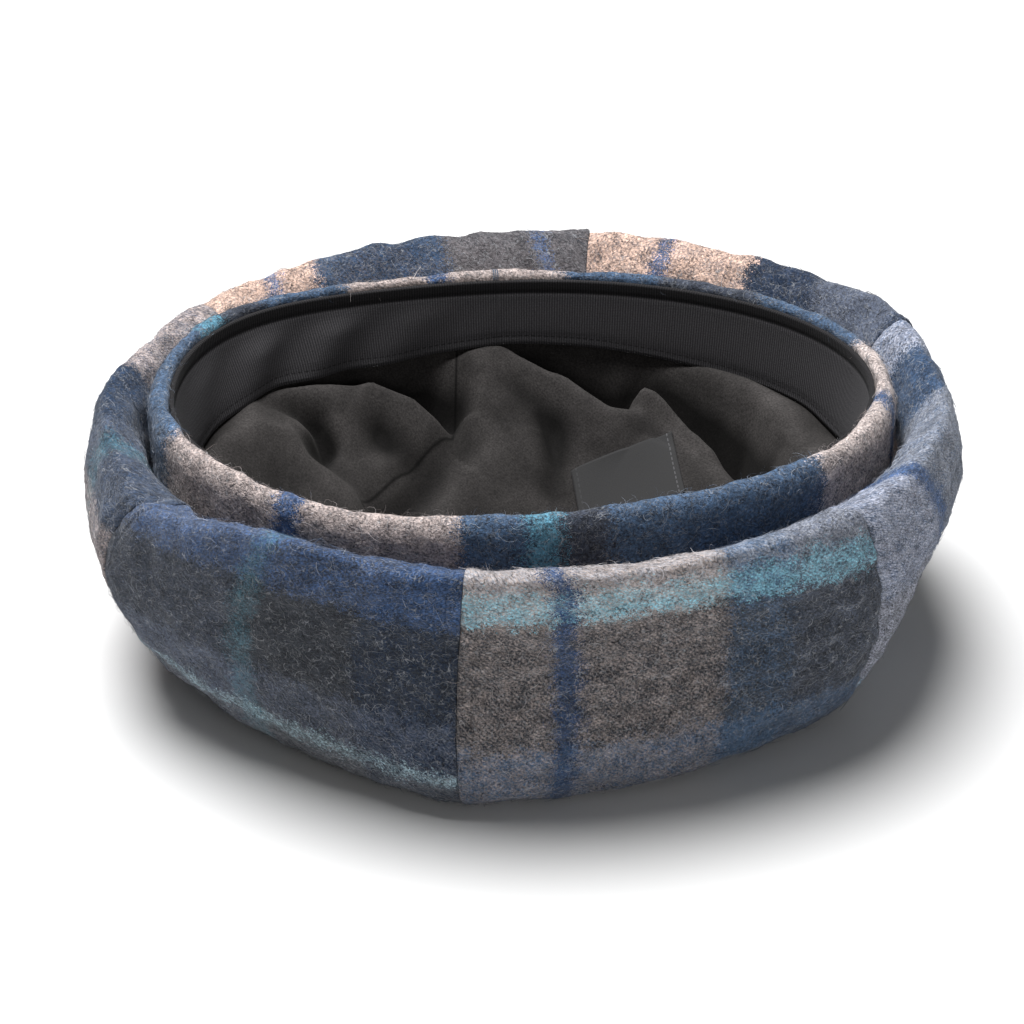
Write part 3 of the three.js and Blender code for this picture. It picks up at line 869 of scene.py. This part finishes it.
# Crowding of the columns beside the seams, and the step between two panels in the noises
SEAM_CROWDING = 0.8
NOISE_STEP = 40


def panel_stops(number):
    """Rows of a panel: evenly spaced where it shows, wider on the floor and at its seat."""
    fine = np.linspace(0, LAST_SECTION, PANEL_MEASURE)
    middle = seam_angles(fine)[:, number - 1:number + 1].mean(1, keepdims=True)
    run = lengths_along(crown_points(middle, fine)[:, 0], 0)
    foot, lip = np.interp(EVEN_ROWS, fine, run)
    shown = np.linspace(foot, lip, int((lip - foot) / PANEL_ROW_STEP))
    on_floor = np.linspace(0, foot, FLOOR_ROWS)[:-1]
    rows = np.concatenate([on_floor, shown, np.linspace(lip, run[-1], SEAT_ROWS)[1:]])
    return np.interp(rows, run, fine), rows


def crown_panel(number):
    """One wedge panel with rolled seam edges, topstitch furrows and its loose fibres."""
    node = SEAMS[number - 1]["panel"]
    plaid = PLAID[node]
    alongs, rows = panel_stops(number)
    t = np.linspace(0, 1, PANEL_COLUMNS + 1)
    share = t - SEAM_CROWDING / (2 * math.pi) * np.sin(2 * math.pi * t)
    edges = seam_angles(alongs)[:, number - 1:number + 1]
    sides = crown_points(edges, alongs)
    gap = np.degrees(SEAM_GAP / 2 / np.hypot(sides[..., 0], sides[..., 1]).mean(1, keepdims=True))
    grid = crown_points(edges[:, :1] + gap + (edges[:, 1:] - edges[:, :1] - 2 * gap) * share, alongs)
    across = lengths_along(grid, 1)
    from_seam = np.minimum(across, across[:, -1:] - across)
    x = across - np.array([np.interp(0.5, share, line) for line in across])[:, None]
    y = np.repeat(rows[:, None], len(share), 1)
    leaned = x + plaid["lean"] * (y - LEAN_FROM)
    cloth = np.stack([leaned, y + plaid["tilt"] * x, 0 * x + number * NOISE_STEP], -1)
    normals = grid_normals(grid)
    begun = smoothstep(alongs, RELIEF_SHOWS.starts, RELIEF_SHOWS.full)
    shows = begun[:, None] * (1 - smoothstep(alongs, RELIEF_SHOWS.fades, RELIEF_SHOWS.ends))[:, None]
    relief = PANEL_RELIEF.waves * ripple(x, y, CLOTH_WAVES, number)
    relief = relief + PANEL_RELIEF.lumps * ripple(x, y, CLOTH_LUMPS, number + PANEL_RELIEF.lump_seeds)
    relief = relief - SEAM_ROLL.depth * np.exp(-from_seam / SEAM_ROLL.spread)
    relief = relief - FURROW.depth * bell(from_seam - TOPSTITCH.from_seam, FURROW.spread)
    front = grid + normals * (relief * shows)[..., None]
    front[..., 2] = np.maximum(front[..., 2], 0)
    points, quads = wall(front, grid - normals * WOOL_WALL)
    doubled = both_faces(cloth=cloth, seam=from_seam)
    material = wool_material(f"plaid_{number}", plaid)
    piece = mesh_piece(f"wool_panel_{number}", points, quads, material, **doubled)
    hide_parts(node)
    weights = np.repeat(shows, len(share), 1)
    fuzz = fibres(f"wool_fuzz_{number}", front, normals, cloth, weights, FIBRES.panel, number,
                  fibre_material(f"fuzz_{number}", plaid))
    area = lengths_along(grid, 0)[-1].mean() * across[:, -1].mean() * MM * MM
    return piece, fuzz, area


def oval_points(angles, outside, z):
    """Points on the ovals that lie these distances outside the opening: profile points, angles, xyz."""
    a = np.radians(angles)[None, :]
    outside, z = (np.reshape(values, (len(values), -1)) for values in (outside, z))
    x = (OPENING.half_width + outside) * np.sin(a)
    y = OPENING.centre_y - (OPENING.half_depth + outside) * np.cos(a)
    return np.stack([x, y, z + 0 * x], -1)


def shifted(grid, angles):
    """Rings of points whose upper part goes where the soft rim does."""
    loose = smoothstep(grid[..., 2], SHIFTS_FROM_Z, RIM_Z)
    moved = grid.copy()
    for row in RIM_SHIFTS:
        share = loose * bell(turn_from(angles, row["angle"]), row["spread"])
        moved += outward(angles) * (row["outward"] * share)[..., None]
        moved[..., 2] -= row["drop"] * share
    return moved


def arc_round(angles):
    """Distance round the middle of the headband from the shown side, and minus that on the left."""
    fine = np.linspace(0, 360, ROUND_MEASURE)
    run = lengths_along(oval_points(fine, [HEADBAND.thick / 2], [0])[0], 0)
    arc = np.interp(angles % 360, fine, run)
    return np.where(angles > 180, arc - run[-1], arc)


# Relief of the headband, whose waves are read on a circle, and where its fibres end below the rim
BAND_WAVES = (41, 29, 19, 13)
BAND_RELIEF = Values(waves=0.35, lumps=0.15, radius=90, from_z=56, full_z=66)
BAND_SEEDS = Values(waves=31, lumps=32, fibres=41)
BAND_FIBRES_END = (1, 4)


def headband():
    """Headband: a strip of wool folded double, open inside its fold."""
    angles = np.arange(BAND_COLUMNS) * 360 / BAND_COLUMNS
    thick, bottom = HEADBAND.thick, HEADBAND.bottom_z
    crest = thick - HEADBAND.roll_width
    rolls = RIM_Z - HEADBAND.roll_height
    quarter, half = math.pi / 2, math.pi
    steps = BAND_STEPS
    face = np.concatenate([
        np.linspace((thick, bottom), (thick, rolls), steps.leg)[:-1],
        bend((crest, rolls), HEADBAND.roll_width, HEADBAND.roll_height, 0, quarter, steps.roll),
        bend((crest, RIM_Z - crest), crest, crest, quarter, half, steps.turn_in)[1:],
        np.linspace((0, RIM_Z - crest), (0, bottom), steps.inner_leg)[1:],
    ])
    inside = thick / 2 - WOOL_WALL
    hidden = bend((thick / 2, rolls), inside, inside, half, 0, steps.fold)
    profile = np.concatenate([face, [(WOOL_WALL, bottom)], hidden, [(thick - WOOL_WALL, bottom)]])
    outside, z = face.T
    grid = shifted(oval_points(angles, profile[:, 0], profile[:, 1]), angles)
    run = lengths_along(np.pad(profile, ((0, 0), (0, 1))), 0)
    x = np.repeat(arc_round(angles)[None, :], len(profile), 0)
    y = np.repeat(run[:, None], len(angles), 1)
    cloth = np.stack([x, y, 0 * x], -1)
    normals = ring_normals(grid)
    shown = len(face)
    free = np.zeros(len(profile))
    free[:shown] = smoothstep(z, BAND_RELIEF.from_z, BAND_RELIEF.full_z)
    round_x = BAND_RELIEF.radius * np.sin(np.radians(angles))[None, :]
    round_y = BAND_RELIEF.radius * np.cos(np.radians(angles))[None, :]
    relief = BAND_RELIEF.waves * ripple(round_x, round_y, BAND_WAVES, BAND_SEEDS.waves)
    relief = relief + BAND_RELIEF.lumps * ripple(x, y, CLOTH_LUMPS, BAND_SEEDS.lumps)
    front = grid + normals * (relief * free[:, None])[..., None]
    points = front.reshape(-1, 3)
    quads = grid_quads(len(profile), len(angles), True, True)
    far = np.full(len(points), FAR)
    plaid = PLAID["headband"]
    material = wool_material("plaid_headband", plaid)
    piece = mesh_piece("wool_headband", points, quads, material, cloth=cloth.reshape(-1, 3), seam=far)
    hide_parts("headband")
    closed = [np.concatenate([rows[:shown], rows[:shown, :1]], 1) for rows in (front, normals, cloth)]
    inner = np.where(outside < crest, 1 - smoothstep(RIM_Z - z, *BAND_FIBRES_END), 1)
    weights = np.repeat((free[:shown] * inner)[:, None], len(angles) + 1, 1)
    fuzz = fibres("wool_fuzz_headband", *closed, weights, FIBRES.headband, BAND_SEEDS.fibres,
                  fibre_material("fuzz_headband", plaid))
    return piece, fuzz


# Soft slanting waves of the sweatband at the left
WAVES = Values(height=2.2, length=30, slant=0.9, angle=222, spread=26, full_below=8)


def sweatband_edge(angles):
    """Height of the sweatband's free edge at these angles."""
    rows = [[row[key] for row in SWEATBAND_EDGE] for key in ("angle", "z")]
    return np.mean([np.interp((angles + ease) % 360, *rows) for ease in (-EDGE_EASE, 0, EDGE_EASE)], 0)


def sweatband():
    """Ribbed sweatband: a welt at the top, a sewn groove, fine ribs and a free lower edge."""
    angles = np.arange(RIBS.columns) * 360 / RIBS.columns
    back = -SEAT_GAP
    top = SWEATBAND.top_z
    edge = sweatband_edge(angles)
    welt_z = top - SWEATBAND.welt_height
    face = back - SWEATBAND.thick
    welt = face - SWEATBAND.welt_proud
    round_top = SWEATBAND.welt_round
    step = SWEATBAND.groove_step
    middle = (welt + round_top, top - round_top)
    rounded = bend(middle, round_top, round_top, math.pi / 2, math.pi, WELT_STEPS)
    groove = [(welt, welt_z + 2 * step), (welt, welt_z + step)]
    groove += [(face + SWEATBAND.groove, welt_z), (face, welt_z - step)]
    fixed = np.concatenate([[(back, top)], rounded, groove])[:, :, None] + 0 * angles
    share = np.linspace(0, 1, SWEATBAND_ROWS)[:, None]
    drop = (welt_z - 2 * step) * (1 - share) + edge * share
    lean = SWEATBAND.flare * smoothstep(top - drop, 0, top - edge)
    outside = np.concatenate([[back - SWEATBAND.flare + 0 * angles], fixed[:, 0], face - lean])
    z = np.concatenate([[edge], fixed[:, 1], drop])
    row = np.arange(len(z))[:, None] + 0 * angles
    grid = shifted(oval_points(angles, outside, z), angles)
    x = arc_round(angles) + 0 * z
    on_face = row > len(fixed)
    hem = np.where(on_face, z - edge, FAR)
    wave = 0.5 + 0.5 * np.sin(2 * math.pi * (x + WAVES.slant * z) / WAVES.length)
    waves = WAVES.height * wave * bell(turn_from(angles, WAVES.angle), WAVES.spread)
    furrow = HEM_STITCH.groove * bell(hem - HEM_STITCH.above_edge, HEM_STITCH.groove_spread)
    push = np.where(on_face, waves * smoothstep(welt_z - z, 0, WAVES.full_below) - furrow, 0)
    grid = grid - outward(angles) * push[..., None]
    cloth = np.stack([x, lengths_along(grid, 0), 0 * x], -1)
    attributes = {"cloth": cloth.reshape(-1, 3), "hem": hem.ravel(), "welt": 1.0 * ~on_face.ravel()}
    quads = grid_quads(*z.shape, True, True)
    piece = mesh_piece("rib_sweatband", grid.reshape(-1, 3), quads, rib_material(), **attributes)
    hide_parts("sweatband")
    return piece


def line_distance(x, y, line):
    """Distance to a line of points, whether a place lies on its left, and how far along it, in points."""
    best = np.full(np.broadcast(x, y).shape, 1e9)
    left = np.zeros(best.shape, bool)
    along = np.zeros(best.shape)
    for i, (start, end) in enumerate(zip(line, line[1:])):
        run_x, run_y = end[0] - start[0], end[1] - start[1]
        off_x, off_y = x - start[0], y - start[1]
        reached = np.clip((off_x * run_x + off_y * run_y) / (run_x ** 2 + run_y ** 2), 0, 1)
        distance = np.hypot(off_x - reached * run_x, off_y - reached * run_y)
        nearer = distance < best
        best = np.where(nearer, distance, best)
        left = np.where(nearer, run_x * off_y - run_y * off_x > 0, left)
        along = np.where(nearer, i + reached, along)
    return best, left, along


def lining_seam(x, y):
    """Distance to the sewn seam of the lining, minus on its right."""
    distance, left, _ = line_distance(x, y, LINING_SEAM)
    return np.where(left, distance, -distance)


def lining_height(x, y):
    """Height of the lining's upper face."""
    over_x = x / (OPENING.half_width - SEAT_GAP - LINING.thick)
    over_y = (y - OPENING.centre_y) / (OPENING.half_depth - SEAT_GAP - LINING.thick)
    share = np.hypot(over_x, over_y)
    z = LINING.centre_z + (LINING.shoulder_z - LINING.centre_z) * smoothstep(share, 0, 1)
    edge = sweatband_edge(np.degrees(np.arctan2(over_x, -over_y))) - LINING.under_edge
    z = z + (edge - LINING.shoulder_z) * smoothstep(share, LINING.rises_from, LINING.rises_to)
    free = np.maximum(0, 1 - share ** FOLD_HOLD)
    for fold in FOLDS:
        distance, left, along = line_distance(x, y, fold["line"])
        rises = [point[2] for point in fold["line"]]
        rise = np.interp(along, range(len(rises)), rises)
        z = z + rise * bell(distance, np.where(left, fold["left"], fold["right"])) * free
    return z - SEAM_CREASE.depth * bell(lining_seam(x, y), SEAM_CREASE.spread) * free


def lining_hollow(x, y, z):
    """How far each place of the lining lies below the cloth around it."""
    around = []
    for turn in np.arange(HOLLOW_SIDES) * 2 * math.pi / HOLLOW_SIDES:
        around.append(lining_height(x + HOLLOW_REACH * math.cos(turn), y + HOLLOW_REACH * math.sin(turn)))
    return np.mean(around, 0) - z


def lining():
    """Lining: a loose bowl of twill that hangs from its sewn edge behind the sweatband."""
    turn = np.arange(LINING_COLUMNS) / LINING_COLUMNS
    angles = 360 * (turn + LINING_CROWDING * np.sin(2 * math.pi * turn) / (2 * math.pi))
    edge = oval_points(angles, [-SEAT_GAP - LINING.thick], [0])[0]
    share = np.concatenate([np.ones(len(LINING_HEM)), np.linspace(*LINING_SHARES, LINING_RINGS)])
    lift = np.concatenate([LINING_HEM, np.zeros(LINING_RINGS)])
    x = edge[None, :, 0] * share[:, None]
    y = OPENING.centre_y + (edge[None, :, 1] - OPENING.centre_y) * share[:, None]
    grid = np.stack([x, y, lining_height(x, y) + lift[:, None]], -1)
    points, quads = wall(grid, grid - ring_normals(grid) * LINING.thick, True)
    # How far each place lies below the cloth around it: it drives the painted light on the ridges and painted
    # shade in the hollows
    hollow = lining_hollow(x, y, lining_height(x, y))
    doubled = both_faces(cloth=grid, seam=lining_seam(x, y), hollow=hollow)
    piece = mesh_piece("twill_lining", points, quads, twill_material(), **doubled)
    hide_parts("lining")
    return piece


def label():
    """Bare woven label that follows the lining."""
    across = np.linspace(-0.5, 0.5, LABEL_COLUMNS)[None, :] * LABEL.width
    up = np.linspace(-0.5, 0.5, LABEL_ROWS)[:, None] * LABEL.height
    turn = math.radians(LABEL.turn)
    x = LABEL.x + across * math.cos(turn) - up * math.sin(turn)
    y = LABEL.y + across * math.sin(turn) + up * math.cos(turn)
    grid = np.stack([x, y, lining_height(x, y)], -1)
    normals = grid_normals(grid)
    top = grid + normals * (LABEL.gap + LABEL.thick)
    bottom = grid + normals * LABEL.gap
    cloth = np.stack([across + 0 * up, up + 0 * across, 0 * x], -1)
    piece = mesh_piece("bare_label", *wall(top, bottom), label_material(), **both_faces(cloth=cloth))
    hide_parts("label")
    return piece


# The stage

# Half the floor's side in metres and its colour, and the strength of the light from all round
FLOOR = Values(half=12, colour=(0.68, 0.68, 0.68, 1))
WORLD_STRENGTH = 0.1


def stage():
    """Plain pale floor in faint light from all round."""
    size = FLOOR.half
    mesh = bpy.data.meshes.new("floor")
    corners = [(-size, -size, 0), (size, -size, 0), (size, size, 0), (-size, size, 0)]
    mesh.from_pydata(corners, [], [(0, 1, 2, 3)])
    floor = placed("floor", mesh)
    n = Nodes("pale_floor")
    n.finish(FLOOR.colour, roughness=0.9, sheen=0, tint=(1, 1, 1, 1), specular=0.1)
    mesh.materials.append(n.material)
    world = bpy.data.worlds.new("studio")
    world.use_nodes = True
    background = world.node_tree.nodes["Background"]
    background.inputs["Color"].default_value = (1, 1, 1, 1)
    background.inputs["Strength"].default_value = WORLD_STRENGTH
    bpy.context.scene.world = world
    bpy.context.scene.view_settings.view_transform = "Standard"


# Lamps, in metres and watts
LIGHTS = table(
    "name at aim size power",
    ("softbox", (-0.25, 0.28, 1.6), (0, 0, 0.05), 1.2, 63),
    ("front", (0.6, -1.6, 0.45), (0, 0, 0.03), 1, 6),
)


def lights():
    """Large soft lamps."""
    for row in LIGHTS:
        lamp = bpy.data.lights.new(row["name"], "AREA")
        lamp.shape = "DISK"
        lamp.size = row["size"]
        lamp.energy = row["power"]
        holder = placed(row["name"], lamp)
        holder.location = row["at"]
        holder.rotation_euler = (Vector(row["aim"]) - Vector(row["at"])).to_track_quat("-Z", "Y").to_euler()


CAMERA = Values(
    target=(-3.83, 0.09, 40.62), azimuth=-6, elevation=29, distance=850, lens=99.5, sensor=36,
)


def camera():
    """Camera at the photograph's angle."""
    azimuth, elevation = math.radians(CAMERA.azimuth), math.radians(CAMERA.elevation)
    level = math.cos(elevation)
    back = np.array([math.sin(azimuth) * level, -math.cos(azimuth) * level, math.sin(elevation)])
    data = bpy.data.cameras.new("camera")
    data.sensor_width = CAMERA.sensor
    data.lens = CAMERA.lens
    holder = placed("camera", data)
    holder.location = (np.array(CAMERA.target) + back * CAMERA.distance) * MM + ORIGIN
    holder.rotation_euler = Vector(-back).to_track_quat("-Z", "Y").to_euler()
    bpy.context.scene.camera = holder


def build():
    """Every piece of the cap."""
    band, band_fuzz = headband()
    for number in range(1, len(SEAMS) + 1):
        panel, fuzz, area = crown_panel(number)
    inner_band = sweatband()
    bowl = lining()
    patch = label()


build()
stage()
lights()
camera()
